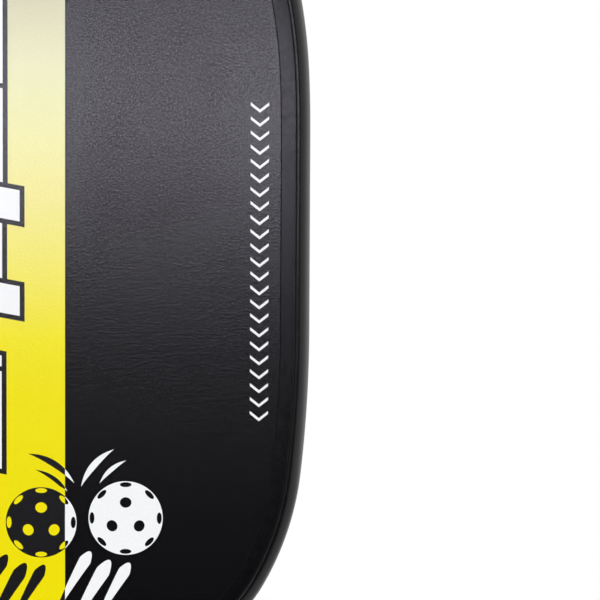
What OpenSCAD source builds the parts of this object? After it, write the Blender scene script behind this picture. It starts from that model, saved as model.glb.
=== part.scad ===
// Pickleball paddle: a honeycomb panel with face sheets and printed films, an edge guard round the
// head, and a two-shell handle with a wound grip.
// Frame: X across the face, -Y out of the front face, +Z from the handle to the head.
// The origin is the middle of the handle, on its axis, where a hand holds the paddle.

/* [Overall] */
// Length from the butt cap's end to the top of the edge guard
overall_len = 406; // [396:1:420]
// Width over the edge guard
head_w = 203; // [198:1:208]

/* [Head outline] */
// Length of the straight stretch of each side
side_len = 58.5; // [50:0.5:66]
// Radius of the upper corners
corner_r = 56.5; // [50:0.5:60]
// Radius of the gentle curve between a side and its upper corner
upper_r = 164; // [150:2:180]
// Radius of the easement at both ends of the straight side
ease_r = 375; // [325:5:425]
// Radius of the lower corners
shoulder_r = 85.5; // [80:0.5:90]
// Radius of the tighter turn below them, in towards the throat
chin_r = 45.5; // [40:0.5:50]
// Radius of the fillet between the head and the handle
throat_r = 18; // [14:1:22]

/* [Laminate] */
// Thickness of the honeycomb core
core_t = 12.6; // [10:0.1:14]
// Distance from one honeycomb cell to the next, across the flats
cell_pitch = 8; // [7:0.5:10]
// Thickness of the walls between cells
cell_wall = 0.3; // [0.3:0.05:0.6]
// Thickness of each bond film between the core and a face sheet
bond_t = 0.1; // [0.1:0.05:0.2]
// Thickness of each face sheet
sheet_t = 0.5; // [0.4:0.05:0.8]
// Thickness of each printed film
film_t = 0.1; // [0.1:0.05:0.2]

/* [Edge guard] */
// Width of the guard, seen from the front
guard_w = 8.6; // [7.5:0.1:9.5]
// Width of its rounded bead, seen from the front
bead_w = 3.65; // [3.4:0.05:3.9]
// Height of the lips above the printed film
lip_h = 1; // [0.9:0.1:1.3]
// Thickness of the guard's wall past the adhesive tape
guard_wall = 2.8; // [2.5:0.1:3]
// Thickness of the adhesive tape between the panel's edge and the guard
edge_tape_t = 0.3; // [0.2:0.1:0.4]

/* [Handle] */
// Width of the wound grip
grip_w = 34.8; // [33:0.2:36]
// Thickness of the wound grip, front to back
grip_t = 29; // [27:0.5:31]
// Thickness of the grip's cushion wrap
wrap_t = 1.65; // [1.4:0.05:1.9]
// Thickness of the adhesive backing under the wrap
backing_t = 0.15; // [0.1:0.05:0.2]
// Width of the panel's tongue inside the handle
tongue_w = 26; // [24:0.5:27]
// Height of the shells' throat block above the wrap
throat_block_h = 9; // [8:0.5:11]

/* [Butt cap] */
// Height of the flared end that shows below the wrap
cap_flare_h = 8.2; // [7:0.1:10]
// Height of the skirt under the wrap
cap_skirt_h = 7; // [5:0.5:9]
// Thickness of the skirt
cap_skirt_t = 1; // [0.8:0.1:1.2]
// How far the flared end stands out past the grip
cap_flare = 2.6; // [2.2:0.1:3]
// Diameter of the badge in the end of the cap
badge_d = 20; // [16:1:22]

/* [Collar and tape] */
// Width of the vinyl finishing tape
finish_tape_w = 14; // [12:0.5:18]
// Thickness of the finishing tape
finish_tape_t = 0.2; // [0.15:0.05:0.3]
// Width of the rubber collar
collar_w = 9.5; // [8:0.5:11]
// Thickness of the rubber collar
collar_t = 1.3; // [1:0.1:1.6]

/* [Hidden] */
$fn = 180;

// Heading of the outline, in degrees, at each change of curvature, from the crown's middle to the throat
crown_a = 12;
corner_a = 74;
upper_a = 87.4;
side_a = 90;
lower_a = 96.5;
chin_a = 120;
flank_a = 162;
chord_error = 0.05;

// Half sizes
half_w = head_w / 2;
neck_half = grip_w / 2;
grip_half_t = grip_t / 2;
shell_half_w = neck_half - wrap_t - backing_t;
shell_half_t = grip_half_t - wrap_t - backing_t;
tongue_half = tongue_w / 2;

// Half thicknesses of the laminate, from the middle outwards
bond_z = core_t / 2;
sheet_z = bond_z + bond_t;
film_z = sheet_z + sheet_t;
face_z = film_z + film_t;
lip_z = face_z + lip_h;
panel_inset = guard_wall + edge_tape_t;

// The crown's radius and the flank's length close the outline's width
crown_r = (half_w - corner_r * (sin(corner_a) - sin(crown_a)) - upper_r * (sin(upper_a) - sin(corner_a))
    - ease_r * (1 - sin(upper_a))) / sin(crown_a);
flank_len = (half_w - neck_half - ease_r * (1 - sin(lower_a)) - shoulder_r * (sin(lower_a) - sin(chin_a))
    - chin_r * (sin(chin_a) - sin(flank_a)) - throat_r * (1 - sin(flank_a))) / -cos(flank_a);

// Outline of the guard's outer edge, as [radius, heading at its end] turns and [0, length] straights.
// A negative radius turns the other way.
RIM = [[crown_r, crown_a], [corner_r, corner_a], [upper_r, upper_a], [ease_r, side_a], [0, side_len],
    [ease_r, lower_a], [shoulder_r, chin_a], [chin_r, flank_a], [0, flank_len], [-throat_r, side_a]];

// State along the outline: [x, y, heading], where heading 0 runs along +X and 90 runs towards the handle
function out_dir(heading) = [sin(heading), cos(heading)];
function run_dir(heading) = [cos(heading), -sin(heading)];
function spot(s) = [s[0], s[1]];
function turn_centre(s, r) = spot(s) - r * out_dir(s[2]);
function step_on(s, seg) = let (
    r = seg[0],
    heading = r == 0 ? s[2] : seg[1],
    p = r == 0 ? spot(s) + seg[1] * run_dir(s[2]) : turn_centre(s, r) + r * out_dir(heading)
) [p[0], p[1], heading];
function states(from, i = 0) =
    i == len(RIM) ? [from] : concat([from], states(step_on(from, RIM[i]), i + 1));

head_len = -states([0, 0, 0])[len(RIM)][1];
throat_y = (overall_len - head_len) / 2;
butt_y = -throat_y;
STATES = states([0, throat_y + head_len, 0]);

// States at which the right half is drawn: round stretches come within chord_error of their arc
function seg_stations(i) = let (s = STATES[i], r = RIM[i][0])
    r == 0 ? [s] : let (
        turn = RIM[i][1] - s[2],
        steps = ceil(abs(turn) * PI / 180 / sqrt(8 * chord_error / abs(r)))
    ) [for (k = [0 : steps - 1])
        let (heading = s[2] + turn * k / steps, p = turn_centre(s, r) + r * out_dir(heading))
            [p[0], p[1], heading]];
STATIONS = concat([for (i = [0 : len(RIM) - 1]) each seg_stations(i)], [STATES[len(RIM)]]);
// The right half's outline, a distance inset inside the guard's outer edge
function half_rim(inset) = [for (s = STATIONS) spot(s) - inset * out_dir(s[2])];
// A closed outline from its right half, with points on the middle line taken once
on_middle = 0.001;
function whole(half) = concat(half,
    [for (i = [len(half) - 1 : -1 : 0]) if (half[i][0] > on_middle) [-half[i][0], half[i][1]]]);

// Places along the handle
block_y = throat_y - throat_block_h;
seat_gap = 0.2;
block_top_y = throat_y - seat_gap;
wrap_top_y = block_y - seat_gap;
wrap_end_y = butt_y + cap_flare_h;
skirt_top_y = wrap_end_y + cap_skirt_h;
cap_floor = 3.2;
shell_end_y = butt_y + cap_floor;
tongue_end_y = shell_end_y + 2;
badge_recess = 0.8;
badge_t = 0.6;
badge_gap = 0.2;

// Half of the panel's outline: the head, a straight neck, and for the laminate the tongue
function neck_half_outline() = concat(half_rim(panel_inset), [[neck_half - panel_inset, block_y]]);
function panel_half_outline() =
    concat(neck_half_outline(), [[tongue_half, block_y], [tongue_half, tongue_end_y]]);

// The paddle is drawn lying with its front face up, then stood upright
module upright() rotate([90, 0, 0]) children();
module along_handle(y0, y1) translate([0, y1, 0]) rotate([90, 0, 0]) linear_extrude(y1 - y0) children();
module sheet_layer(z, t, front, half) {
    upright() translate([0, 0, front ? z : -z - t]) linear_extrude(t) polygon(whole(half));
}

// Cross-section of the handle: an oblong with its four corners cut, grown by a distance
corner_cut = 6.4;
module handle_section(half_x, half_z) {
    cut = corner_cut - (neck_half - half_x) * (2 - sqrt(2));
    polygon([for (s = [[1, 1], [-1, 1], [-1, -1], [1, -1]]) each
        let (a = [s[0] * half_x, s[1] * (half_z - cut)], b = [s[0] * (half_x - cut), s[1] * half_z])
        s[0] == s[1] ? [a, b] : [b, a]]);
}
module handle_tube(y0, y1, inner, outer) along_handle(y0, y1) difference() {
    handle_section(neck_half + outer, grip_half_t + outer);
    handle_section(neck_half + inner, grip_half_t + inner);
}

// Hexagonal cells: those at the edge are cut off along a line core_edge inside it, and a cell is drawn
// only where its middle lies cell_keep inside that line, so none is a sliver. step_split keeps the two
// widths at the tongue's shoulder apart in the table.
core_edge = 1.2;
cell_r = (cell_pitch - cell_wall) / sqrt(3);
column_gap = cell_pitch * sqrt(3) / 2;
function core_half_outline() = concat(half_rim(panel_inset + core_edge),
    [[tongue_half - core_edge, throat_y], [tongue_half - core_edge, tongue_end_y + core_edge]]);
step_split = 0.01;
HALF_WIDTHS = [for (p = core_half_outline()) [p[1] + (p[0] > tongue_half ? step_split : 0), p[0]]];
cell_keep = cell_pitch / 8;
function cell_is_drawn(c) = c[1] > tongue_end_y + core_edge + cell_keep
    && abs(c[0]) + cell_keep < lookup(c[1], HALF_WIDTHS);
columns = ceil(half_w / column_gap);
rows = ceil((STATES[0][1] - butt_y) / cell_pitch);
CELLS = [for (i = [-columns : columns], j = [0 : rows])
    let (c = [i * column_gap, butt_y + (j + (i % 2 == 0 ? 0 : 0.5)) * cell_pitch]) if (cell_is_drawn(c)) c];

module honeycomb_core() color("gainsboro") upright() translate([0, 0, -bond_z]) linear_extrude(core_t)
    difference() {
        polygon(whole(panel_half_outline()));
        intersection() {
            polygon(whole(core_half_outline()));
            for (c = CELLS) translate(c) circle(cell_r, $fn = 6);
        }
    }

module bond_film(front) color("khaki") sheet_layer(bond_z, bond_t, front, panel_half_outline());
module face_sheet(front) color("dimgray") sheet_layer(sheet_z, sheet_t, front, panel_half_outline());
module printed_film(front) color([0.05, 0.05, 0.06]) sheet_layer(film_z, film_t, front, neck_half_outline());

// Cross-section of the guard, with x measured outwards from its outer edge and y through the thickness.
// The bead is a flat side with a rounded corner at each face, then a groove and the flat lip.
bead_z = face_z + 0.7;
bead_corner = 4.2;
groove_z = face_z + 0.45;
groove_w = 0.3;
lip_bevel = 0.35;
bead_steps = 4;
function guard_front_half() = let (lip_x = -bead_w - groove_w) concat(
    [for (k = [0 : bead_steps]) let (a = 90 * k / bead_steps)
        [-bead_w * (1 - cos(a)), bead_z - bead_corner * (1 - sin(a))]],
    [[-bead_w - groove_w / 2, groove_z], [lip_x - groove_w / 2, groove_z], [lip_x - lip_bevel, lip_z],
        [-guard_w + lip_bevel, lip_z], [-guard_w, lip_z - lip_bevel], [-guard_w, face_z],
        [-guard_wall, face_z]]
);
function guard_section() = let (half = guard_front_half())
    concat(half, [for (i = [len(half) - 1 : -1 : 0]) [half[i][0], -half[i][1]]]);

// The guard is one extrusion bent round the whole outline, from one side of the throat to the other
function mirrored(s) = [-s[0], s[1], -s[2]];
RING_STATES = concat([for (i = [len(STATIONS) - 1 : -1 : 1]) mirrored(STATIONS[i])], STATIONS);
module swept_round(section) {
    n = len(section);
    last = len(RING_STATES) - 1;
    polyhedron(
        points = [for (s = RING_STATES, q = section)
            let (p = spot(s) + q[0] * out_dir(s[2])) [p[0], p[1], q[1]]],
        faces = concat(
            [for (i = [0 : last - 1], j = [0 : n - 1])
                [i * n + j, (i + 1) * n + j, (i + 1) * n + (j + 1) % n, i * n + (j + 1) % n]],
            [[for (j = [0 : n - 1]) j]],
            [[for (j = [n - 1 : -1 : 0]) last * n + j]]
        )
    );
}

module edge_guard() color([0.07, 0.07, 0.08]) upright() swept_round(guard_section());
module edge_guard_tape() color("silver") upright() translate([0, 0, -face_z]) linear_extrude(2 * face_z)
    difference() {
        polygon(whole(half_rim(guard_wall)));
        polygon(whole(neck_half_outline()));
    }

// One half of the handle: a shell that holds the tongue, ribbed inside, with a sloped block at the throat
staple_y = wrap_end_y + 3.4;
staple_crown = [8, 1.2, 0.4];
staple_leg = 4.6;
staple_wire = 0.8;
block_flat = 1.2;
module throat_block() intersection() {
    along_handle(block_y, block_top_y) handle_section(neck_half, grip_half_t);
    rotate([90, 0, 90]) translate([0, 0, -neck_half]) linear_extrude(grip_w)
        polygon([[block_y, 0], [block_y, grip_half_t], [block_y + block_flat, grip_half_t],
            [block_top_y, lip_z], [block_top_y, 0]]);
}
overlap = 1;
pocket_rows = 5;
pocket_depth = 3.6;
pocket_rib = 2;
pocket_w = tongue_w - 2 * pocket_rib;
pocket_from = skirt_top_y + pocket_rib;
pocket_gap = (block_y - pocket_rib - pocket_from) / pocket_rows;
module shell_half() difference() {
    union() {
        intersection() {
            along_handle(shell_end_y, block_y + overlap) handle_section(shell_half_w, shell_half_t);
            translate([-half_w, butt_y, 0]) cube([head_w, overall_len, grip_t]);
        }
        throat_block();
    }
    translate([-tongue_half, tongue_end_y, -overlap]) cube([tongue_w, throat_y, film_z + overlap]);
    translate([panel_inset - neck_half, block_y, -overlap])
        cube([2 * (neck_half - panel_inset), throat_y, face_z + overlap]);
    for (k = [0 : pocket_rows - 1]) translate([-pocket_w / 2, pocket_from + k * pocket_gap, 0])
        cube([pocket_w, pocket_gap - pocket_rib, film_z + pocket_depth]);
}
module handle_shell_front() color([0.09, 0.09, 0.1]) upright() difference() {
    shell_half();
    staples();
}
module handle_shell_back() color([0.09, 0.09, 0.1]) upright() mirror([0, 0, 1]) difference() {
    shell_half();
    staples();
}

// Two wire staples that hold the start of the wrap to the cap's skirt, one on each flat
module staples() translate([0, staple_y, shell_half_t + cap_skirt_t]) {
    translate([-staple_crown[0] / 2, -staple_crown[1] / 2, 0]) cube(staple_crown);
    for (x = [-1, 1])
        translate([x * (staple_crown[0] - staple_wire) / 2 - staple_wire / 2, -staple_wire / 2, -staple_leg])
            cube([staple_wire, staple_wire, staple_leg + staple_crown[2]]);
}
module both_staples() for (m = [0, 1]) mirror([0, 0, m]) staples();
module grip_staples() color("silver") upright() both_staples();

// Layers wound on the handle, measured outwards from the grip's own surface
shell_off = -wrap_t - backing_t;
module grip_backing_tape() color("wheat") upright()
    handle_tube(skirt_top_y, wrap_top_y, shell_off, shell_off + backing_t);
module grip_wrap() color([0.1, 0.1, 0.11]) upright() difference() {
    union() {
        handle_tube(skirt_top_y, wrap_top_y, shell_off + backing_t, 0);
        handle_tube(wrap_end_y, skirt_top_y, shell_off + cap_skirt_t, cap_skirt_t);
    }
    both_staples();
}
tape_bottom_y = wrap_top_y - finish_tape_w;
collar_setback = 0.5;
collar_bottom_y = wrap_top_y - collar_w - collar_setback;
module finishing_tape() color([0.05, 0.05, 0.05]) upright()
    handle_tube(tape_bottom_y, wrap_top_y, 0, finish_tape_t);
module grip_collar() color([0.06, 0.06, 0.06]) upright()
    handle_tube(collar_bottom_y, collar_bottom_y + collar_w, finish_tape_t, finish_tape_t + collar_t);

// Cup over the end of the shells: a floor with a flared rim, and a skirt under the wrap
cap_base_h = 4.4;
cap_seam = 0.1;
cap_step = 0.3;
module butt_cap() color([0.05, 0.05, 0.05]) upright() difference() {
    union() {
        along_handle(butt_y, butt_y + cap_base_h)
            handle_section(neck_half + cap_flare, grip_half_t + cap_flare);
        hull() {
            along_handle(butt_y + cap_base_h - cap_seam, butt_y + cap_base_h)
                handle_section(neck_half + cap_flare, grip_half_t + cap_flare);
            along_handle(wrap_end_y - cap_seam, wrap_end_y)
                handle_section(neck_half + cap_skirt_t + cap_step, grip_half_t + cap_skirt_t + cap_step);
        }
        along_handle(wrap_end_y - cap_seam, skirt_top_y)
            handle_section(shell_half_w + cap_skirt_t, shell_half_t + cap_skirt_t);
    }
    along_handle(shell_end_y, skirt_top_y + overlap) handle_section(shell_half_w, shell_half_t);
    along_handle(butt_y - overlap, butt_y + badge_recess) circle(d = badge_d);
    both_staples();
}
module butt_cap_badge() color("dimgray") upright()
    along_handle(butt_y + badge_recess - badge_t, butt_y + badge_recess) circle(d = badge_d - badge_gap);

honeycomb_core();
bond_film(true);  // front_bond_film
bond_film(false);  // back_bond_film
face_sheet(true);  // front_face_sheet
face_sheet(false);  // back_face_sheet
printed_film(true);  // front_printed_film
printed_film(false);  // back_printed_film
edge_guard();
edge_guard_tape();
handle_shell_front();
handle_shell_back();
grip_backing_tape();
grip_wrap();
grip_staples();
finishing_tape();
grip_collar();
butt_cap();
butt_cap_badge();
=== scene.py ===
import math

import bmesh
import bpy
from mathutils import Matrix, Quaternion, Vector


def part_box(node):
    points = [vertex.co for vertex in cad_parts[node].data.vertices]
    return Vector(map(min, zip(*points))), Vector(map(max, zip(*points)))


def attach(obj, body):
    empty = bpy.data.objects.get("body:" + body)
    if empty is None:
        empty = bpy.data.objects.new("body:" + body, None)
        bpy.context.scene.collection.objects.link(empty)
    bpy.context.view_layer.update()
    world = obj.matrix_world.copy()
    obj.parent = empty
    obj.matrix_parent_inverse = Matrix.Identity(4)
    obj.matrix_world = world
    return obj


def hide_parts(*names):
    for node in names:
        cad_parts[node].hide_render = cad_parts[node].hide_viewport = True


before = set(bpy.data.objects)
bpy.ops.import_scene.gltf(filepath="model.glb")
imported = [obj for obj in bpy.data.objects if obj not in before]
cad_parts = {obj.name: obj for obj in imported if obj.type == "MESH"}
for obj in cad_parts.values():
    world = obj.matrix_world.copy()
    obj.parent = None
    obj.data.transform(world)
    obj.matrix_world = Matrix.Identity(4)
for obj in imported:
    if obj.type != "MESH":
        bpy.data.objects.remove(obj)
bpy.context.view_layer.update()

# Everything is in metres. X runs across the face, -Y out of the front face, +Z from the grip to the head.

# ---------------------------------------------------------------- places read from the CAD frame
_, guard_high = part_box("edge_guard")
film_low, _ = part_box("front_printed_film")
shell_low, shell_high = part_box("handle_shell_front")
wrap_low, wrap_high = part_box("grip_wrap")
cap_low, cap_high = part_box("butt_cap")
badge_low, badge_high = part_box("butt_cap_badge")
collar_low, collar_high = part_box("grip_collar")
tape_low, tape_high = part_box("finishing_tape")

HALF_W = guard_high.x
CROWN_Z = guard_high.z
LIP_Y = guard_high.y
FACE_Y = -film_low.y
GRIP_HALF_X = shell_high.x
GRIP_HALF_Y = -shell_low.y
BACKING_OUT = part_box("grip_backing_tape")[1].x - GRIP_HALF_X
SKIRT_GAP = 0.00015
SKIRT_WALL = 0.001
SKIRT_IN = BACKING_OUT - SKIRT_GAP
SKIRT_OUT = SKIRT_IN + SKIRT_WALL
WELD = 1e-6

# ---------------------------------------------------------------- outline of the head
# The guard's outer edge, from the crown's middle down the right side, as arcs and straights with the
# heading, in degrees, at which each ends. Heading 0 runs along +X and 90 runs down towards the grip.
CROWN_TURN = 12
CORNER = (0.0565, 74)
UPPER = (0.164, 87.4)
EASE_R = 0.375
SIDE_HEADING = 90
LOWER_HEADING = 96.5
SHOULDER = (0.0855, 120)
CHIN = (0.0455, 162)
THROAT_R = 0.018
SIDE_LENGTH = 0.0585
CHORD_ERROR = 0.000004


def sine(degrees):
    return math.sin(math.radians(degrees))


def outward(heading):
    return Vector((sine(heading), 0, math.cos(math.radians(heading))))


def forward(heading):
    return Vector((math.cos(math.radians(heading)), 0, -sine(heading)))


def rim_segments():
    """The outline's segments. The crown's radius and the flank's length close it at the frame's width."""
    turned = CORNER[0] * (sine(CORNER[1]) - sine(CROWN_TURN)) + UPPER[0] * (sine(UPPER[1]) - sine(CORNER[1]))
    crown_r = (HALF_W - turned - EASE_R * (1 - sine(UPPER[1]))) / sine(CROWN_TURN)
    shoulder = SHOULDER[0] * (sine(LOWER_HEADING) - sine(SHOULDER[1]))
    shoulder += CHIN[0] * (sine(SHOULDER[1]) - sine(CHIN[1]))
    inwards = HALF_W - GRIP_HALF_X - EASE_R * (1 - sine(LOWER_HEADING)) - shoulder
    flank = (inwards - THROAT_R * (1 - sine(CHIN[1]))) / -math.cos(math.radians(CHIN[1]))
    return [
        (crown_r, CROWN_TURN), CORNER, UPPER, (EASE_R, SIDE_HEADING), (0, SIDE_LENGTH),
        (EASE_R, LOWER_HEADING), SHOULDER, CHIN, (0, flank), (-THROAT_R, SIDE_HEADING),
    ]


def rim_stations(chord_error):
    """Points and headings along the guard's outer edge, from the left of the throat round to its right."""
    point, heading = Vector((0, 0, CROWN_Z)), 0.0
    right = []
    for radius, value in rim_segments():
        right.append((point.copy(), heading))
        if radius == 0:
            point = point + value * forward(heading)
            continue
        centre = point - radius * outward(heading)
        turn = value - heading
        steps = math.ceil(abs(math.radians(turn)) / math.sqrt(8 * chord_error / abs(radius)))
        for k in range(1, steps):
            h = heading + turn * k / steps
            right.append((centre + radius * outward(h), h))
        point, heading = centre + radius * outward(value), value
    right.append((point, heading))
    left = [(Vector((-p.x, 0, p.z)), -h) for p, h in reversed(right[1:])]
    return left + right


def inside_rim(stations, inset):
    return [p - inset * outward(h) for p, h in stations]


# ---------------------------------------------------------------- mesh helpers
def finish_mesh(bm, name, material, replaced=(), smooth=True):
    bmesh.ops.recalc_face_normals(bm, faces=bm.faces)
    mesh = bpy.data.meshes.new(name)
    bm.to_mesh(mesh)
    bm.free()
    piece = bpy.data.objects.new(name, mesh)
    bpy.context.scene.collection.objects.link(piece)
    mesh.materials.append(material)
    for face in mesh.polygons:
        face.use_smooth = smooth
    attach(piece, "root")
    if replaced:
        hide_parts(*replaced)
    return piece


def add_rings(bm, rings, closed=False, capped=True):
    """Skins rings of equal length. Closed joins the last ring to the first; capped fills both end rings."""
    loops = [[bm.verts.new(p) for p in ring] for ring in rings]
    pairs = list(zip(loops, loops[1:])) + ([(loops[-1], loops[0])] if closed else [])
    for a, b in pairs:
        for i in range(len(a)):
            j = (i + 1) % len(a)
            bm.faces.new((a[i], a[j], b[j], b[i]))
    if capped and not closed:
        bm.faces.new(loops[0])
        bm.faces.new(loops[-1])
    return loops


def keep_sharp(piece, degrees):
    """Smooth shading that stays crisp at edges steeper than this."""
    mesh = piece.data
    bm = bmesh.new()
    bm.from_mesh(mesh)
    for edge in bm.edges:
        edge.smooth = len(edge.link_faces) == 2 and edge.calc_face_angle(0) < math.radians(degrees)
    bm.to_mesh(mesh)
    bm.free()


def apply_modifier(piece, kind, **settings):
    modifier = piece.modifiers.new(kind.lower(), kind)
    for key, value in settings.items():
        setattr(modifier, key, value)
    bpy.context.view_layer.objects.active = piece
    bpy.ops.object.modifier_apply(modifier=modifier.name)


# ---------------------------------------------------------------- material helpers
def new_look(name, color, roughness, **sockets):
    """A material with its Principled shader set; the caller adds its texture nodes."""
    material = bpy.data.materials.new(name)
    material.use_nodes = True
    shader = material.node_tree.nodes["Principled BSDF"]
    shader.inputs["Base Color"].default_value = (*color, 1)
    shader.inputs["Roughness"].default_value = roughness
    for key, value in sockets.items():
        shader.inputs[key.replace("_", " ")].default_value = value
    return material, material.node_tree, shader


SMOOTHSTEP = {"interpolation_type": "SMOOTHSTEP"}


def add(tree, kind, settings=None, **inputs):
    """Adds a node. Inputs are numbers, or outputs of other nodes to link."""
    made = tree.nodes.new("ShaderNode" + kind)
    for key, value in (settings or {}).items():
        setattr(made, key, value)
    for key, value in inputs.items():
        socket = made.inputs[int(key[1:])] if key[1:].isdigit() else made.inputs[key.replace("_", " ")]
        if isinstance(value, bpy.types.NodeSocket):
            tree.links.new(value, socket)
        else:
            socket.default_value = value
    return made


def place(tree):
    return add(tree, "TexCoord").outputs["Object"]


def noise(tree, scale, detail=3, at=None, roughness=0.5):
    vector = at or place(tree)
    made = add(tree, "TexNoise", Vector=vector, Scale=scale, Detail=detail, Roughness=roughness)
    return made.outputs["Fac"]


def cells(tree, scale, at=None, feature="F1"):
    vector = at or place(tree)
    return add(tree, "TexVoronoi", {"feature": feature}, Vector=vector, Scale=scale).outputs["Distance"]


def spread(tree, value, low, high, start=0.3, end=0.7):
    """Maps a texture's usual span to a range."""
    return add(tree, "MapRange", Value=value, i1=start, i2=end, i3=low, i4=high).outputs["Result"]


def math_node(tree, operation, a, b=0.0):
    return add(tree, "Math", {"operation": operation}, i0=a, i1=b).outputs[0]


def tint(tree, value, low, high):
    """Mixes two colours by a value."""
    ramp = tree.nodes.new("ShaderNodeValToRGB")
    ramp.color_ramp.elements[0].color = (*low, 1)
    ramp.color_ramp.elements[1].color = (*high, 1)
    tree.links.new(value, ramp.inputs["Fac"])
    return ramp.outputs["Color"]


def bump(tree, shader, height, distance, strength=1.0):
    made = add(tree, "Bump", Height=height, Distance=distance, Strength=strength)
    tree.links.new(made.outputs["Normal"], shader.inputs["Normal"])


def feed(tree, shader, socket, value):
    tree.links.new(value, shader.inputs[socket])


def shade(tree, shader, value, low, high):
    """Gives the shader a base colour mottled between two by a value."""
    feed(tree, shader, "Base Color", tint(tree, value, low, high))


# ---------------------------------------------------------------- materials
GRAIN_SCALE = 1850
FILM_ROUGHNESS = (0.185, 0.222)
FILM_SHEEN = (0.32, 0.74)


def face_grain(tree, shader):
    """The fine pebble grain that runs over the film and every ink on it."""
    fine = noise(tree, GRAIN_SCALE, 1)
    pebble = math_node(tree, "ADD", cells(tree, GRAIN_SCALE), fine)
    bump(tree, shader, pebble, 0.000035, 0.4)
    feed(tree, shader, "Roughness", spread(tree, noise(tree, GRAIN_SCALE, 2, roughness=0.7), *FILM_ROUGHNESS))
    feed(tree, shader, "Specular IOR Level", spread(tree, fine, *FILM_SHEEN))


def film_black():
    material, tree, shader = new_look("film_black", (0.0012, 0.0011, 0.0014), 0.21)
    shade(tree, shader, noise(tree, 900, 3), (0.0006, 0.0005, 0.0007), (0.0010, 0.0009, 0.0012))
    face_grain(tree, shader)
    return material


STRIPE_COLOURS = [
    (0.143, (0.84, 0.73, 0.0)), (0.167, (0.85, 0.74, 0.0)), (0.183, (0.86, 0.76, 0.01)),
    (0.203, (0.86, 0.78, 0.12)), (0.223, (0.85, 0.78, 0.26)), (0.243, (0.82, 0.79, 0.37)),
    (0.263, (0.76, 0.76, 0.46)), (0.283, (0.63, 0.61, 0.42)),
]


def stripe_yellow():
    """Yellow at the throat that pales to cream towards the crown."""
    material, tree, shader = new_look("stripe_yellow", STRIPE_COLOURS[0][1], 0.3)
    height = add(tree, "SeparateXYZ", Vector=place(tree)).outputs["Z"]
    bottom, top = STRIPE_COLOURS[0][0], STRIPE_COLOURS[-1][0]
    speckle = math_node(tree, "MULTIPLY", noise(tree, 2400, 1), 0.06)
    along = add(tree, "MapRange", Value=height, i1=bottom, i2=top, i3=-0.03, i4=0.97).outputs["Result"]
    ramp = tree.nodes.new("ShaderNodeValToRGB")
    tree.links.new(math_node(tree, "ADD", along, speckle), ramp.inputs["Fac"])
    stops = ramp.color_ramp.elements
    while len(stops) < len(STRIPE_COLOURS):
        stops.new(0.5)
    for stop, (z, color) in zip(stops, STRIPE_COLOURS):
        stop.position = (z - bottom) / (top - bottom)
        stop.color = (*color, 1)
    feed(tree, shader, "Base Color", ramp.outputs["Color"])
    face_grain(tree, shader)
    return material


def white_ink():
    material, tree, shader = new_look("white_ink", (0.86, 0.88, 0.88), 0.3)
    shade(tree, shader, noise(tree, 1800, 2), (0.84, 0.86, 0.86), (0.90, 0.91, 0.91))
    face_grain(tree, shader)
    return material


def outline_ink():
    material, tree, shader = new_look("outline_ink", (0.008, 0.008, 0.0085), 0.34)
    shade(tree, shader, noise(tree, 1600, 2), (0.006, 0.006, 0.0065), (0.010, 0.010, 0.011))
    face_grain(tree, shader)
    return material


def guard_black():
    """Extruded plastic: a faint grain and fine scuffs."""
    material, tree, shader = new_look("guard_black", (0.002, 0.002, 0.0024), 0.24, Specular_IOR_Level=0.36)
    scuff = spread(tree, noise(tree, 420, 6, roughness=0.65), 0, 1, 0.5, 0.78)
    shade(tree, shader, scuff, (0.0010, 0.0010, 0.0014), (0.0035, 0.0035, 0.004))
    feed(tree, shader, "Roughness", spread(tree, noise(tree, 700, 4), 0.20, 0.26))
    bump(tree, shader, noise(tree, 2600, 3), 0.00002, 0.35)
    return material


def moulded_black(name, color=(0.012, 0.012, 0.013), roughness=(0.46, 0.6), grain=1300):
    """Moulded plastic with a fine spark texture."""
    material, tree, shader = new_look(name, color, roughness[0])
    lighter = tuple(min(1, c * 1.7 + 0.002) for c in color)
    shade(tree, shader, noise(tree, grain * 0.3, 5), color, lighter)
    feed(tree, shader, "Roughness", spread(tree, noise(tree, grain * 0.5, 4), *roughness))
    bump(tree, shader, math_node(tree, "ADD", noise(tree, grain, 3), cells(tree, grain * 0.8)), 0.00005, 0.3)
    return material


def grip_leather():
    """Perforated synthetic leather: a pebbled skin with creases and a little wear mottled over it."""
    material, tree, shader = new_look("grip_leather", (0.010, 0.010, 0.011), 0.6)
    pebbles = cells(tree, 950, feature="SMOOTH_F1")
    creases = noise(tree, 240, 5, roughness=0.6)
    height = math_node(tree, "ADD", pebbles, math_node(tree, "MULTIPLY", creases, 1.4))
    bump(tree, shader, height, 0.00012, 0.4)
    wear = spread(tree, noise(tree, 90, 6), 0, 1, 0.35, 0.75)
    shade(tree, shader, wear, (0.007, 0.007, 0.008), (0.022, 0.021, 0.021))
    feed(tree, shader, "Roughness", spread(tree, creases, 0.5, 0.72))
    return material


def vinyl_tape():
    material, tree, shader = new_look("vinyl_tape", (0.010, 0.010, 0.011), 0.24)
    stretch = add(tree, "Mapping", Vector=place(tree), Scale=(0.25, 0.25, 3)).outputs["Vector"]
    folds = noise(tree, 260, 4, at=stretch)
    bump(tree, shader, folds, 0.00015, 0.35)
    feed(tree, shader, "Roughness", spread(tree, noise(tree, 800, 3), 0.2, 0.34))
    # The base colour follows the folds' height, darker in their hollows and lighter on their ridges: painted
    # shade in the folds.
    shade(tree, shader, folds, (0.008, 0.008, 0.009), (0.016, 0.016, 0.017))
    return material


def rubber(name="collar_rubber"):
    material, tree, shader = new_look(name, (0.014, 0.014, 0.014), 0.62)
    shade(tree, shader, noise(tree, 300, 5), (0.010, 0.010, 0.010), (0.024, 0.023, 0.022))
    feed(tree, shader, "Roughness", spread(tree, noise(tree, 1100, 3), 0.55, 0.75))
    bump(tree, shader, noise(tree, 2200, 4), 0.00004, 0.35)
    return material


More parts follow.
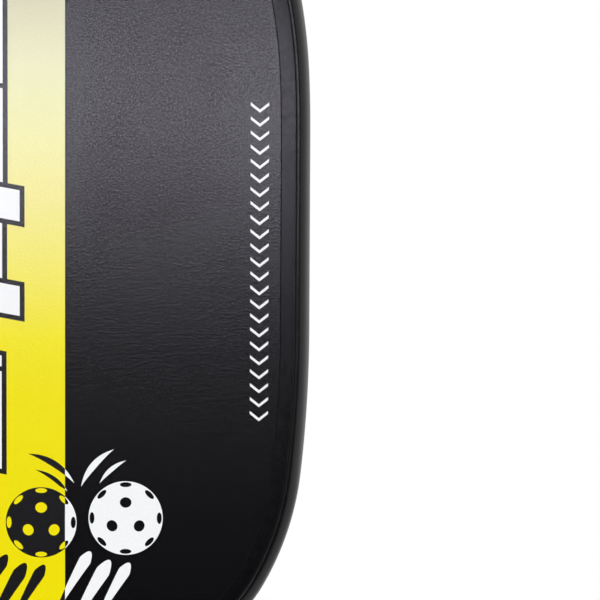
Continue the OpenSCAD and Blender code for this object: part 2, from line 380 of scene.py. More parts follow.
def plain_film(name, color, roughness, scale):
    """Thin adhesive and backing layers: slight mottling and a fine tooth."""
    material, tree, shader = new_look(name, color, roughness)
    darker = tuple(c * 0.82 for c in color)
    shade(tree, shader, noise(tree, scale * 0.2, 4), darker, color)
    feed(tree, shader, "Roughness", spread(tree, noise(tree, scale, 3), roughness - 0.08, roughness + 0.08))
    bump(tree, shader, noise(tree, scale * 1.5, 3), 0.00003, 0.3)
    return material


def honeycomb_plastic():
    material, tree, shader = new_look(
        "honeycomb_plastic", (0.80, 0.82, 0.80), 0.42, Subsurface_Weight=0.25, Subsurface_Scale=0.002
    )
    shade(tree, shader, noise(tree, 150, 4), (0.70, 0.73, 0.70), (0.84, 0.86, 0.84))
    feed(tree, shader, "Roughness", spread(tree, noise(tree, 900, 3), 0.34, 0.5))
    bump(tree, shader, noise(tree, 1500, 3), 0.00003, 0.3)
    return material


def woven_laminate():
    """A plain weave under satin resin."""
    material, tree, shader = new_look("woven_laminate", (0.03, 0.03, 0.032), 0.35, Coat_Weight=0.4)
    shader.inputs["Coat Roughness"].default_value = 0.2
    spot = place(tree)
    across, along = (
        add(tree, "TexWave", {"bands_direction": axis}, Vector=spot, Scale=160, Distortion=0.4).outputs["Fac"]
        for axis in "XZ"
    )
    weave = math_node(tree, "MULTIPLY", across, along)
    shade(tree, shader, weave, (0.012, 0.012, 0.013), (0.055, 0.056, 0.06))
    feed(tree, shader, "Roughness", spread(tree, weave, 0.3, 0.45, 0, 1))
    bump(tree, shader, weave, 0.00008, 0.4)
    return material


def staple_wire():
    material, tree, shader = new_look("staple_wire", (0.62, 0.62, 0.6), 0.3, Metallic=1.0)
    drawn = add(tree, "Mapping", Vector=place(tree), Scale=(0.2, 6, 6)).outputs["Vector"]
    feed(tree, shader, "Roughness", spread(tree, noise(tree, 900, 4, at=drawn), 0.22, 0.42))
    bump(tree, shader, noise(tree, 1800, 3, at=drawn), 0.00002, 0.4)
    return material


LOOKS = {
    "film": film_black(),
    "stripe": stripe_yellow(),
    "white": white_ink(),
    "outline": outline_ink(),
    "guard": guard_black(),
    "shell": moulded_black("handle_shell_black"),
    "cap": moulded_black("butt_cap_black", (0.010, 0.010, 0.011), (0.42, 0.55), 1600),
    "badge": moulded_black("badge_grey", (0.06, 0.06, 0.063), (0.25, 0.35), 2600),
    "grip": grip_leather(),
    "vinyl": vinyl_tape(),
    "rubber": rubber(),
}
NODE_LOOKS = {
    "honeycomb_core": honeycomb_plastic(),
    "front_bond_film": plain_film("bond_amber", (0.72, 0.62, 0.40), 0.4, 700),
    "front_face_sheet": woven_laminate(),
    "front_printed_film": LOOKS["film"],
    "edge_guard_tape": plain_film("foam_tape_white", (0.75, 0.75, 0.72), 0.7, 900),
    "grip_backing_tape": plain_film("backing_paper", (0.72, 0.66, 0.50), 0.75, 500),
    "grip_staples": staple_wire(),
}
NODE_LOOKS["back_bond_film"] = NODE_LOOKS["front_bond_film"]
NODE_LOOKS["back_face_sheet"] = NODE_LOOKS["front_face_sheet"]
NODE_LOOKS["back_printed_film"] = NODE_LOOKS["front_printed_film"]

for node_name, look in NODE_LOOKS.items():
    node_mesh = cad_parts[node_name].data
    node_mesh.materials.clear()
    node_mesh.materials.append(look)


# ---------------------------------------------------------------- edge guard
GUARD_W = 0.0086
GUARD_WALL = 0.0028
BEAD_W = 0.00365
BEAD_Y = FACE_Y + 0.0007
BEAD_CORNER = 0.0042
GROOVE_Y = FACE_Y + 0.00056
LIP_START = 0.0043
LIP_ROUND = 0.0001
LIP_TAPER = 0.0003


def guard_profile():
    """Half of the guard's section from the middle of its outer side to its inner wall, as (inset, y)."""
    half = [(0, k * (BEAD_Y - BEAD_CORNER) / 3) for k in range(3)]
    for k in range(13):
        a = math.radians(90 * k / 12)
        half.append((BEAD_W * (1 - math.cos(a)), BEAD_Y - BEAD_CORNER * (1 - math.sin(a))))
    groove_mid = (BEAD_W + LIP_START) / 2
    half += [(groove_mid, GROOVE_Y), (LIP_START - 0.0001, LIP_Y - LIP_ROUND)]
    for k in range(6):
        a = math.radians(90 * k / 5)
        half.append((LIP_START + LIP_ROUND * (1 - math.cos(a)), LIP_Y - LIP_ROUND * (1 - math.sin(a))))
    half += [(GUARD_W - LIP_TAPER, LIP_Y), (GUARD_W, FACE_Y), (GUARD_WALL, FACE_Y)]
    return half


def make_guard():
    half = guard_profile()
    section = half + [(inset, -y) for inset, y in reversed(half[1:])]
    rings = []
    for point, heading in rim_stations(CHORD_ERROR):
        out = outward(heading)
        rings.append([point - inset * out + Vector((0, -y, 0)) for inset, y in section])
    bm = bmesh.new()
    add_rings(bm, rings)
    piece = finish_mesh(bm, "edge_guard_extrusion", LOOKS["guard"], ["edge_guard"])
    keep_sharp(piece, 40)
    return piece


# ---------------------------------------------------------------- printed graphics
INK_T = 0.000015
STRIPE_HALF_W = 0.030
FILM_TRIM = 0.0035
CIRCLE_POINTS = 96
STROKE_STEPS = 32
STREAK_HEAD = 0.125


def clip(outline, limit, keep_right):
    """Cuts an outline of (x, z) points along the line x = limit."""
    sign = 1 if keep_right else -1
    kept = []
    for (x0, z0), (x1, z1) in zip(outline, outline[1:] + outline[:1]):
        d0, d1 = sign * (x0 - limit), sign * (x1 - limit)
        if d0 >= 0:
            kept.append((x0, z0))
        if d0 * d1 < 0:
            t = d0 / (d0 - d1)
            kept.append((limit, z0 + t * (z1 - z0)))
    return kept


def ellipse(cx, cz, a, b, tilt=0.0):
    """An ellipse with semi-axis a turned by tilt, and b across it."""
    points = []
    for k in range(CIRCLE_POINTS):
        turn = 2 * math.pi * k / CIRCLE_POINTS
        u, v = a * math.cos(turn), b * math.sin(turn)
        x = cx + u * math.cos(tilt) - v * math.sin(tilt)
        z = cz + u * math.sin(tilt) + v * math.cos(tilt)
        points.append((x, z))
    return points


def disc(cx, cz, r):
    return ellipse(cx, cz, r, r)


def ball_holes(cx, cz, ball_r, hole_r, turn):
    """Holes of a perforated ball seen from the front, in two rings that foreshorten towards its rim."""
    holes = []
    for count, tip in ((3, 25), (8, 65)):
        for k in range(count):
            a = math.radians(turn + 360 * k / count)
            d = ball_r * sine(tip)
            flat = hole_r * math.cos(math.radians(tip))
            holes.append(ellipse(cx + d * math.cos(a), cz + d * math.sin(a), flat, hole_r, a))
    return holes


def arc_stroke(cx, cz, r, start, end, width):
    """A crescent stroke along an arc, thickest in its middle and pointed at both ends."""
    outer, inner = [], []
    for k in range(STROKE_STEPS + 1):
        t = k / STROKE_STEPS
        a = math.radians(start + (end - start) * t)
        half = width / 2 * math.sin(math.pi * t)
        outer.append((cx + (r + half) * math.cos(a), cz + (r + half) * math.sin(a)))
        if 0 < k < STROKE_STEPS:
            inner.append((cx + (r - half) * math.cos(a), cz + (r - half) * math.sin(a)))
    return outer + inner[::-1]


BLOCK_SLANT = 0.18


def streak(x, z, heading, length, width, bow):
    """A trail that starts blunt at (x, z) and ends in a point. It runs along a heading and bends by bow."""
    along = (math.cos(math.radians(heading)), sine(heading))
    left, right = [], []
    for k in range(STROKE_STEPS + 1):
        t = (k / STROKE_STEPS) ** 2
        if t < STREAK_HEAD:
            half = width / 2 * math.sqrt(t / STREAK_HEAD)
        else:
            half = width / 2 * (1 - (t - STREAK_HEAD) / (1 - STREAK_HEAD))
        cx = x + length * t * along[0] - bow * t * t * along[1]
        cz = z + length * t * along[1] + bow * t * t * along[0]
        left.append((cx - half * along[1], cz + half * along[0]))
        if 0 < k < STROKE_STEPS:
            right.append((cx + half * along[1], cz - half * along[0]))
    return left + right[::-1]


def block(z_low, z_high, half_w, inset_side=0.0, inset_low=0.0, inset_high=0.0):
    """A bar across the centre line whose ends are level and whose top and bottom slant down to the right."""
    w = half_w - inset_side
    low, high, fall = z_low + inset_low, z_high - inset_high, BLOCK_SLANT * w
    return [(w, low - fall), (w, high - fall), (-w, high + fall), (-w, low + fall)]


def chevron(cx, cz, w, h, thick):
    """One small mark of the plain row beside the edge."""
    left, right, low, high = cx - w / 2, cx + w / 2, cz - h / 2, cz + h / 2
    return [
        (left, high), (left, high - thick), (cx, low),
        (right, high - thick), (right, high), (cx, low + thick),
    ]


# The stepped column down the stripe, in groups of touching blocks. A group is its base and then, for each
# block going up, where its top crosses the centre line and its half width.
BLOCK_LINE = 0.00145
BLOCK_GROUPS = [
    (0.1455, [(0.1764, 0.0129), (0.1818, 0.0129)]),
    (0.1915, [
        (0.2031, 0.0182), (0.2192, 0.0131), (0.2312, 0.0182), (0.2593, 0.0133), (0.2872, 0.0133),
        (0.2992, 0.0182), (0.3127, 0.0132), (0.3247, 0.0182),
    ]),
]


def line_share(half_w, neighbour):
    """How much of the line between two blocks is cut from this one's white field."""
    if neighbour is None or half_w > neighbour:
        return BLOCK_LINE
    return BLOCK_LINE / 2 if half_w == neighbour else 0


def stepped_column():
    """The column's dark blocks and their white fields, as two lists of outlines. Neighbours of equal width
    share one dark block, so that no two walls coincide."""
    spans, white = [], []
    for base, tops in BLOCK_GROUPS:
        widths = [None] + [half_w for _, half_w in tops] + [None]
        lows = [base] + [top for top, _ in tops]
        for k, (top, half_w) in enumerate(tops):
            below, above = line_share(half_w, widths[k]), line_share(half_w, widths[k + 2])
            start = spans.pop()[0] if widths[k] == half_w else lows[k]
            spans.append((start, top, half_w))
            white.append(block(lows[k], top, half_w, BLOCK_LINE, below, above))
    return [block(*span) for span in spans], white


# Two perforated balls beside the stripe's edge, each with short strokes over it and a trail behind it
BALLS = [(0.0230, 0.1291, 0.0104, 90), (0.0478, 0.1305, 0.0109, 90)]
BALL_HOLE_R = 0.0017
BALL_GAP = 0.0016
STROKES = [
    (0.0155, 0.1287, 0.0210, 35, 80, 0.0019), (0.0170, 0.1287, 0.0165, 30, 75, 0.0013),
    (0.0540, 0.1327, 0.0205, 118, 160, 0.0019), (0.0540, 0.1327, 0.0160, 112, 150, 0.0013),
]
TRAILS = [
    (0.0130, 0.1195, 238, 0.0240, 0.0034, 0.0012), (0.0185, 0.1170, 238, 0.0300, 0.0040, 0.0015),
    (0.0240, 0.1165, 238, 0.0240, 0.0034, 0.0012), (0.0375, 0.1205, 238, 0.0240, 0.0036, 0.0012),
    (0.0432, 0.1180, 238, 0.0310, 0.0042, 0.0015), (0.0490, 0.1172, 238, 0.0240, 0.0036, 0.0012),
]
MARK_X = 0.0868
MARK_W = 0.0053
MARK_H = 0.0030
MARK_LINE = 0.0009
MARK_SPAN = (0.1608, 0.2512)
MARK_COUNT = 23


def printed_shapes():
    """The face's graphics: (look, level, outline). A higher level lies over a lower one."""
    film = [(p.x, p.z) for p in inside_rim(rim_stations(CHORD_ERROR), FILM_TRIM)]
    foot = GRIP_HALF_X - FILM_TRIM
    film += [(foot, film_low.z), (-foot, film_low.z)]
    shapes = [("stripe", 1, clip(clip(film, STRIPE_HALF_W, False), -STRIPE_HALF_W, True))]
    dark, white = stepped_column()
    shapes += [("outline", 2, outline) for outline in dark]
    shapes += [("white", 3, outline) for outline in white]

    def two_tone(level, outline, on_stripe, on_film):
        """Splits an outline at the stripe's edge, so that its colours swap there."""
        for keep_right, look in ((False, on_stripe), (True, on_film)):
            half = clip(outline, STRIPE_HALF_W, keep_right)
            if len(half) > 2:
                shapes.append((look, level, half))

    for outline in [arc_stroke(*stroke) for stroke in STROKES] + [streak(*trail) for trail in TRAILS]:
        two_tone(2, outline, "outline", "white")
    for level, (x, z, r, turn) in zip((3, 6), BALLS):
        two_tone(level, disc(x, z, r + BALL_GAP), "stripe", "film")
        two_tone(level + 1, disc(x, z, r), "outline", "white")
        for hole in ball_holes(x, z, r, BALL_HOLE_R, turn):
            two_tone(level + 2, hole, "stripe", "film")
    for k in range(MARK_COUNT):
        z = MARK_SPAN[0] + (MARK_SPAN[1] - MARK_SPAN[0]) * k / (MARK_COUNT - 1)
        shapes.append(("white", 2, chevron(MARK_X, z, MARK_W, MARK_H, MARK_LINE)))
    return shapes


def print_face(side, name):
    """Lays the graphics on one face as thin inks, one piece for each look. Side is -1 in front, 1 behind."""
    shapes = printed_shapes()
    for look in ("stripe", "outline", "white", "film"):
        bm = bmesh.new()
        for _, level, outline in (s for s in shapes if s[0] == look):
            low, high = FACE_Y + (level - 1) * INK_T, FACE_Y + level * INK_T
            add_rings(bm, [[(-side * x, side * y, z) for x, z in outline] for y in (low, high)])
        finish_mesh(bm, f"{name}_{look}_ink", LOOKS[look], smooth=False)


# ---------------------------------------------------------------- handle
SECTION_CUT = 0.0064
SECTION_ROUND = 0.0034
ARC_STEPS = 6
EDGE_STEPS = 8


def grip_section():
    """The grip's eight-sided section with rounded corners, as points with their outward normals."""
    inner_x, inner_y = GRIP_HALF_X - SECTION_ROUND, GRIP_HALF_Y - SECTION_ROUND
    cut = SECTION_CUT - SECTION_ROUND * (2 - math.sqrt(2))
    quarter = [(inner_x, inner_y - cut), (inner_x - cut, inner_y)]
    corners = []
    for sx, sy in ((1, 1), (-1, 1), (-1, -1), (1, -1)):
        corners += [(sx * x, sy * y) for x, y in (quarter if sx == sy else quarter[::-1])]
    points = []
    for k, (x, y) in enumerate(corners):
        for step in range(ARC_STEPS + 1):
            a = math.radians(45 * (k + step / ARC_STEPS))
            normal = Vector((math.cos(a), math.sin(a), 0))
            points.append((Vector((x, y, 0)) + SECTION_ROUND * normal, normal))
        next_x, next_y = corners[(k + 1) % len(corners)]
        start = points[-1][0]
        end = Vector((next_x, next_y, 0)) + SECTION_ROUND * normal
        for step in range(1, EDGE_STEPS):
            points.append((start.lerp(end, step / EDGE_STEPS), normal))
    return points


SECTION = grip_section()


def section_ring(offset, z):
    return [point + offset * normal + Vector((0, 0, z)) for point, normal in SECTION]


def circle_ring(radius, z):
    """A circle with one point for each point of the section, so that the two can be skinned together."""
    return [Vector((p.x, p.y, 0)).normalized() * radius + Vector((0, 0, z)) for p, _ in SECTION]


def sleeve(name, profile, look, replaced):
    """A band round the handle from a closed profile of (offset, z)."""
    bm = bmesh.new()
    add_rings(bm, [section_ring(offset, z) for offset, z in profile], closed=True)
    piece = finish_mesh(bm, name, LOOKS[look], replaced)
    keep_sharp(piece, 50)
    return piece


def rounded_edge(outer, z, r, up, steps=4):
    """A quarter round at the outer edge of a band, going up its profile."""
    points = []
    for k in range(steps + 1):
        a = 90 * k / steps
        out, rise = (1 - sine(90 - a), 1 - sine(a)) if up else (1 - sine(a), 1 - sine(90 - a))
        points.append((outer - r * out, z - r * rise if up else z + r * rise))
    return points


TAPE_OUT = tape_high.x - GRIP_HALF_X
COLLAR_OUT = collar_high.x - GRIP_HALF_X
TAPE_LAP = 0.0011
TAPE_EDGE = 0.0001
COLLAR_ROUND = 0.0006
COLLAR_GROOVE = 0.00035


def make_finishing_tape():
    """Vinyl tape wound twice: its last turn stops a little short of the first one's edge."""
    low, high = tape_low.z, tape_high.z
    profile = [
        (0, low), (TAPE_OUT * 0.55, low), (TAPE_OUT * 0.6, low + TAPE_LAP),
        (TAPE_OUT, low + TAPE_LAP + TAPE_EDGE), (TAPE_OUT, high - TAPE_EDGE), (TAPE_OUT * 0.5, high),
        (0, high),
    ]
    return sleeve("finishing_tape_wound", profile, "vinyl", ["finishing_tape"])


def make_collar():
    """Rubber band with two shallow grooves round it."""
    low, high = collar_low.z, collar_high.z
    profile = [(TAPE_OUT, low)] + rounded_edge(COLLAR_OUT, low, COLLAR_ROUND, False)
    for share in (0.3, 0.7):
        z = low + share * (high - low)
        profile += [(COLLAR_OUT, z - 0.0006), (COLLAR_OUT - COLLAR_GROOVE, z - 0.0002)]
        profile += [(COLLAR_OUT - COLLAR_GROOVE, z + 0.0002), (COLLAR_OUT, z + 0.0006)]
    profile += rounded_edge(COLLAR_OUT, high, COLLAR_ROUND, True) + [(TAPE_OUT, high)]
    return sleeve("grip_collar_rubber", profile, "rubber", ["grip_collar"])


# The cap's flange from its end upwards, as (offset from its widest outline, height)
CAP_FLANGE = [
    (-0.0022, 0), (-0.0013, 0.0001), (-0.0006, 0.0004), (-0.0001, 0.0011), (0, 0.0019), (0, 0.0036),
    (-0.00015, 0.0043), (-0.0006, 0.0053),
]
RECESS_GAP = 0.0001
RECESS_EDGE = 0.0003


def make_butt_cap():
    """Flared cap: rounded flange, sloped shoulder, a skirt inside the wrap and a round recess in its end."""
    z = cap_low.z
    flare = cap_high.x - GRIP_HALF_X
    badge_r = badge_high.x + RECESS_GAP
    rings = [circle_ring(badge_r * 0.3, badge_high.z), circle_ring(badge_r, badge_high.z)]
    rings += [circle_ring(badge_r, z + RECESS_EDGE), circle_ring(badge_r + RECESS_EDGE, z)]
    rings += [section_ring(flare + offset, z + rise) for offset, rise in CAP_FLANGE]
    rings += [section_ring(0.0016, wrap_low.z - 0.0009), section_ring(0.0012, wrap_low.z - 0.0002)]
    rings += [section_ring(0.0008, wrap_low.z), section_ring(SKIRT_OUT, wrap_low.z)]
    rings += [section_ring(SKIRT_OUT, cap_high.z), section_ring(SKIRT_IN, cap_high.z)]
    rings += [section_ring(SKIRT_IN, shell_low.z), circle_ring(badge_r * 0.3, shell_low.z)]
    bm = bmesh.new()
    add_rings(bm, rings)
    piece = finish_mesh(bm, "butt_cap_moulded", LOOKS["cap"], ["butt_cap"])
    keep_sharp(piece, 35)
    return piece


BADGE_SINK = 0.00018


def make_badge():
    """Blank sticker with a slightly domed face and a raised rim."""
    low, high, r = badge_low.z, badge_high.z, badge_high.x
    rings = [circle_ring(r, high), circle_ring(r, low + 0.0002), circle_ring(r - 0.0003, low)]
    rings += [circle_ring(r - 0.0011, low), circle_ring(r - 0.0013, low + BADGE_SINK)]
    for share in (0.8, 0.55, 0.3, 0.08):
        rings.append(circle_ring(r * share, low + BADGE_SINK * share * share))
    bm = bmesh.new()
    add_rings(bm, rings)
    return finish_mesh(bm, "butt_badge_sticker", LOOKS["badge"], ["butt_cap_badge"])


def drop_slivers(piece):
    """Merges the coincident corners that a bevel leaves where it meets a short edge."""
    bm = bmesh.new()
    bm.from_mesh(piece.data)
    bmesh.ops.remove_doubles(bm, verts=bm.verts, dist=WELD)
    bmesh.ops.dissolve_degenerate(bm, edges=bm.edges, dist=WELD)
    bm.to_mesh(piece.data)
    bm.free()


SHELL_BEVEL = 0.0005
SHELL_BEVEL_STEPS = 3


def make_shell(node, name):
    """A handle shell with its moulded edges rounded off. Short edges of the solid clamp the bevel's width."""
    bm = bmesh.new()
    bm.from_mesh(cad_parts[node].data)
    bmesh.ops.remove_doubles(bm, verts=bm.verts, dist=WELD)
    bmesh.ops.dissolve_limit(bm, angle_limit=math.radians(0.5), verts=bm.verts, edges=bm.edges)
    piece = finish_mesh(bm, name, LOOKS["shell"], [node])
    limit = math.radians(30)
    apply_modifier(
        piece, "BEVEL", width=SHELL_BEVEL, segments=SHELL_BEVEL_STEPS, limit_method="ANGLE", angle_limit=limit
    )
    drop_slivers(piece)
    keep_sharp(piece, 35)
    return piece


# ---------------------------------------------------------------- wound grip
TAPE_PITCH = 0.0245
HOLE_PITCH = 0.0040
HOLE_R = 0.00062
HOLE_DEPTH = 0.0005
HOLE_RINGS = ((HOLE_R * 1.25, 0.0), (HOLE_R, HOLE_DEPTH * 0.35), (HOLE_R * 0.85, HOLE_DEPTH))
LAP_STEP = 0.0009
LAP_PLAIN = (0.0, 0.0004, 0.0011, 0.0022)
SKIRT_LIFT = wrap_high.x - GRIP_HALF_X


def running_lengths():
    lengths = [0.0]
    for k in range(len(SECTION)):
        lengths.append(lengths[-1] + (SECTION[(k + 1) % len(SECTION)][0] - SECTION[k][0]).length)
    return lengths


SECTION_LENGTHS = running_lengths()
SECTION_TURN = SECTION_LENGTHS[-1]


def section_at(distance):
    """Point and normal at a distance round the section."""
    distance %= SECTION_TURN
    k = 0
    while SECTION_LENGTHS[k + 1] < distance:
        k += 1
    t = (distance - SECTION_LENGTHS[k]) / (SECTION_LENGTHS[k + 1] - SECTION_LENGTHS[k])
    (p0, n0), (p1, n1) = SECTION[k], SECTION[(k + 1) % len(SECTION)]
    return p0.lerp(p1, t), n0.lerp(n1, t).normalized()


def smooth(t):
    t = min(1, max(0, t))
    return t * t * (3 - 2 * t)


def tape_relief(w):
    """Height of the wound tape across one turn, from its lower edge to where the next turn covers it."""
    rounded = smooth((w + 0.0002) / 0.0014)
    sunk = smooth((w - TAPE_PITCH + 0.0075) / 0.0075)
    crown = math.sin(math.pi * w / TAPE_PITCH)
    return -0.00045 + 0.00035 * rounded - LAP_STEP * sunk + 0.0001 * crown


def wrap_point(s, w, depth=0.0):
    """A point of the wound tape: s along it, w across it."""
    z = wrap_low.z - 1.3 * TAPE_PITCH + TAPE_PITCH * s / SECTION_TURN + w
    point, normal = section_at(s)
    lift = SKIRT_LIFT * (1 - smooth((z - cap_high.z + 0.001) / 0.006))
    return point + (tape_relief(w) + lift - depth) * normal + Vector((0, 0, z))


def make_wrap():
    """The grip: one long cushioned tape wound up the handle, each turn lapping the last, with rows of
    pierced holes, trimmed level at both ends."""
    columns = round(SECTION_TURN / HOLE_PITCH)
    step = SECTION_TURN / columns
    rows = round((TAPE_PITCH - 2 * LAP_PLAIN[-1]) / HOLE_PITCH)
    row_step = (TAPE_PITCH - 2 * LAP_PLAIN[-1]) / rows
    turns = math.ceil((wrap_high.z - wrap_low.z) / TAPE_PITCH) + 2
    bm = bmesh.new()
    grid = {}

    def vert(i, w):
        """Grid point at half columns. The last row of one turn is a step below the first row of the next."""
        key = (i, round(w * 1e6))
        if key not in grid:
            grid[key] = bm.verts.new(wrap_point(i * step / 2, w))
        return grid[key]

    def strip(i, w0, w1):
        bm.faces.new((vert(i, w0), vert(i + 1, w0), vert(i + 1, w1), vert(i, w1)))

    edges_w = [LAP_PLAIN[-1] + k * row_step for k in range(rows + 1)]
    lower = list(LAP_PLAIN)
    upper = [TAPE_PITCH - w for w in reversed(LAP_PLAIN)]
    for i in range(2 * columns * turns):
        for w0, w1 in list(zip(lower, lower[1:])) + list(zip(upper, upper[1:])):
            strip(i, w0, w1)
        if i + 2 * columns < 2 * columns * turns:
            j = i + 2 * columns
            bm.faces.new((vert(i, TAPE_PITCH), vert(i + 1, TAPE_PITCH), vert(j + 1, 0.0), vert(j, 0.0)))
    for c in range(columns * turns):
        for r in range(rows):
            w0, w1 = edges_w[r], edges_w[r + 1]
            mid = (w0 + w1) / 2
            i = 2 * c
            around = [(i, w0), (i + 1, w0), (i + 2, w0), (i + 2, mid)]
            around += [(i + 2, w1), (i + 1, w1), (i, w1), (i, mid)]
            frame_verts = [vert(*key) for key in around]
            rings = []
            for radius, depth in HOLE_RINGS:
                ring = []
                for k in range(8):
                    a = math.radians(-135 + 45 * k)
                    s = (i + 1) * step / 2 + radius * math.cos(a)
                    ring.append(bm.verts.new(wrap_point(s, mid + radius * math.sin(a), depth)))
                rings.append(ring)
            for a, b in zip([frame_verts] + rings, rings):
                for k in range(8):
                    j = (k + 1) % 8
                    bm.faces.new((a[k], a[j], b[j], b[k]))
            bm.faces.new(rings[-1])
    for z, normal in ((wrap_low.z, (0, 0, -1)), (wrap_high.z, (0, 0, 1))):
        whole = bm.verts[:] + bm.edges[:] + bm.faces[:]
        bmesh.ops.bisect_plane(
            bm, geom=whole, dist=1e-7, plane_co=(0, 0, z), plane_no=normal, clear_outer=True
        )
    rims = [edge for edge in bm.edges if edge.is_boundary]
    inside = [(SKIRT_OUT, wrap_low.z), (SKIRT_OUT, cap_high.z)]
    inside += [(BACKING_OUT, cap_high.z), (BACKING_OUT, wrap_high.z)]
    loops = add_rings(bm, [section_ring(offset, z) for offset, z in inside], capped=False)
    for z, loop in ((wrap_low.z, loops[0]), (wrap_high.z, loops[-1])):
        outer = [edge for edge in rims if abs(edge.verts[0].co.z - z) < 1e-5]
        inner = [edge for edge in bm.edges if edge.is_boundary and all(vert in loop for vert in edge.verts)]
        bmesh.ops.triangle_fill(bm, edges=outer + inner, use_beauty=True, normal=(0, 0, 1))
    piece = finish_mesh(bm, "grip_wrap_wound", LOOKS["grip"], ["grip_wrap"])
    keep_sharp(piece, 50)
    return piece


make_guard()
print_face(-1, "front")
print_face(1, "back")
make_shell("handle_shell_front", "handle_shell_front_moulded")
make_shell("handle_shell_back", "handle_shell_back_moulded")
make_wrap()
make_finishing_tape()
make_collar()
make_butt_cap()
make_badge()

# ---------------------------------------------------------------- floor
FLOOR_R = 1.0
FLOOR_Z = cap_low.z - 0.0005
FLOOR_FADE = (0.15, 0.5)
DARK_SPOT = (0.05, -0.8, 0)
DARK_SPOT_FADE = (0.4, 0.7)


def make_floor():
    """A pale disc under the paddle that fades into the white background towards its rim."""
    points = [Vector((x, 0, z)) for x, z in disc(0, 0, FLOOR_R)]
    mesh = bpy.data.meshes.new("floor")
    mesh.from_pydata([(p.x, p.z, FLOOR_Z) for p in points], [], [range(len(points))])
    floor = bpy.data.objects.new("floor", mesh)
    bpy.context.scene.collection.objects.link(floor)
    material, tree, shader = new_look("floor_pale", (0.62, 0.62, 0.615), 0.8)
    away = add(tree, "VectorMath", {"operation": "LENGTH"}, i0=place(tree)).outputs["Value"]
    start, end = FLOOR_FADE
    fade = add(tree, "MapRange", SMOOTHSTEP, Value=away, i1=start, i2=end).outputs["Result"]
    # Past the fade the disc glows. The camera sees it as even white. To every other ray it is a glow that
    # lights the paddle and shows in its face, dark round DARK_SPOT in front of it, so the face mirrors a dark
    # floor there: painted light and painted reflection.
    seen = add(tree, "LightPath").outputs["Is Camera Ray"]
    from_spot = add(tree, "VectorMath", {"operation": "DISTANCE"}, i0=place(tree), i1=DARK_SPOT)
    start, end = DARK_SPOT_FADE
    around = add(tree, "MapRange", Value=from_spot.outputs["Value"], i1=start, i2=end).outputs["Result"]
    glow = add(tree, "Emission", Strength=math_node(tree, "MAXIMUM", seen, around)).outputs["Emission"]
    mixed = add(tree, "MixShader", i0=fade, i1=shader.outputs["BSDF"], i2=glow).outputs["Shader"]
    tree.links.new(mixed, tree.nodes["Material Output"].inputs["Surface"])
    mesh.materials.append(material)


make_floor()

# ---------------------------------------------------------------- light
AIM = Vector((0.0987, -FACE_Y, 0.1950))
BODY_MIDDLE = Vector((0, 0, (CROWN_Z + cap_low.z) / 2))


def area_light(name, location, target, width, height, power, color=(1, 1, 1)):
    data = bpy.data.lights.new(name, "AREA")
    data.shape = "RECTANGLE"
    data.size, data.size_y = width, height
    data.energy = power
    data.color = color
    light = bpy.data.objects.new(name, data)
    light.location = location
    light.rotation_mode = "QUATERNION"
    light.rotation_quaternion = (target - light.location).to_track_quat("-Z", "Y")
    light.visible_camera = False
    bpy.context.scene.collection.objects.link(light)
    return light


def ring_place(azimuth, elevation, distance):
    """A place round the paddle. Azimuth 0 is in front of it, 90 to its right."""
    a, e = math.radians(azimuth), math.radians(elevation)
    out = Vector((math.sin(a) * math.cos(e), -math.cos(a) * math.cos(e), math.sin(e)))
    return BODY_MIDDLE + distance * out


KEY_AIM = Vector((0.03, 0, 0.2240))
KEY_OFFSET = Vector((0, -0.9, 0))
KEY_SIZE = (0.6, 0.075)
KEY_POWER = 1.08
KEY_COLOUR = (0.98, 0.95, 1.09)
FILL_AZIMUTH, FILL_ELEVATION, FILL_DISTANCE = 50, 10, 1.2
FILL_SIZE = 0.8
FILL_POWER = 2.5

area_light("key_strip", KEY_AIM + KEY_OFFSET, KEY_AIM, *KEY_SIZE, KEY_POWER, KEY_COLOUR)
for lean in (-1, 1):
    spot = ring_place(FILL_AZIMUTH * lean, FILL_ELEVATION, FILL_DISTANCE)
    fill = area_light(f"fill_{lean + 1}", spot, BODY_MIDDLE, FILL_SIZE, FILL_SIZE, FILL_POWER)
    fill.visible_glossy = False

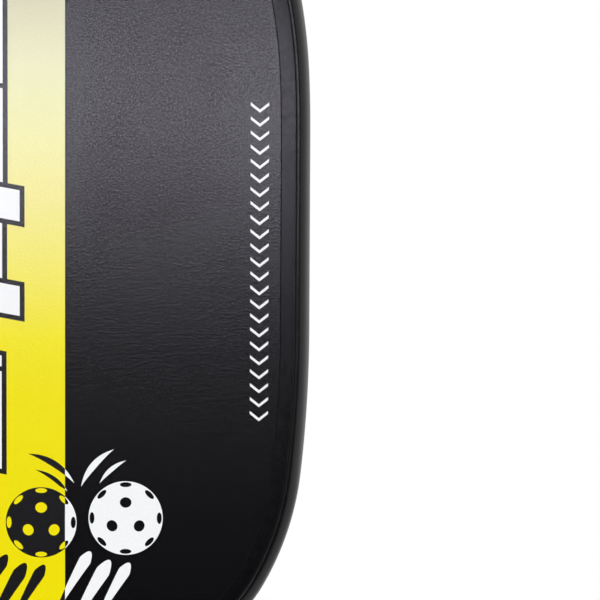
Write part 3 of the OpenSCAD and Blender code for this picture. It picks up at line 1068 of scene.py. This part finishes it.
# What the paddle mirrors: dark in a fixed cone about -Y, given in degrees, and a pale tent outside it. The tent
# brightens from TENT_SIDE in front to TENT_BACK just behind the sides, and dims to TENT_FAR of that towards +Y.
DARK_CONE = (21, 36)
TENT_SIDE = 1.0
TENT_BACK = 1.95
TENT_FAR = 0.3

world = bpy.data.worlds.new("studio")
world.use_nodes = True
sky = world.node_tree
backdrop = sky.nodes["Background"]
facing = add(sky, "SeparateXYZ", Vector=add(sky, "TexCoord").outputs["Generated"]).outputs["Y"]
inner, outer = (-math.cos(math.radians(angle)) for angle in DARK_CONE)
opening = add(sky, "MapRange", SMOOTHSTEP, Value=facing, i1=inner, i2=outer).outputs["Result"]
behind = add(sky, "MapRange", Value=facing, i1=-0.7, i2=0.2, i3=TENT_SIDE, i4=TENT_BACK).outputs["Result"]
fall = add(sky, "MapRange", Value=facing, i1=0.45, i2=1.0, i3=1.0, i4=TENT_FAR).outputs["Result"]
tent = math_node(sky, "MULTIPLY", opening, math_node(sky, "MULTIPLY", behind, fall))
seen = add(sky, "LightPath").outputs["Is Camera Ray"]
keep_dark = math_node(sky, "SUBTRACT", 1.0, seen)
strength = math_node(sky, "ADD", math_node(sky, "MULTIPLY", tent, keep_dark), seen)
backdrop.inputs["Color"].default_value = (1, 1, 1, 1)
sky.links.new(strength, backdrop.inputs["Strength"])
bpy.context.scene.world = world
bpy.context.scene.view_settings.view_transform = "Standard"

# ---------------------------------------------------------------- camera
CAMERA_DISTANCE = 1.25
CAMERA_ELEVATION = 5
CAMERA_ROLL = 0.27
FIELD = 0.1754
SENSOR = 36

camera_data = bpy.data.cameras.new("camera")
camera_data.sensor_width = SENSOR
camera_data.lens = SENSOR * CAMERA_DISTANCE / FIELD
camera = bpy.data.objects.new("camera", camera_data)
bpy.context.scene.collection.objects.link(camera)
back = Vector((0, -math.cos(math.radians(CAMERA_ELEVATION)), sine(CAMERA_ELEVATION)))
camera.location = AIM + CAMERA_DISTANCE * back
camera.rotation_mode = "QUATERNION"
level = (-back).to_track_quat("-Z", "Y")
camera.rotation_quaternion = level @ Quaternion((0, 0, 1), math.radians(CAMERA_ROLL))
bpy.context.scene.camera = camera
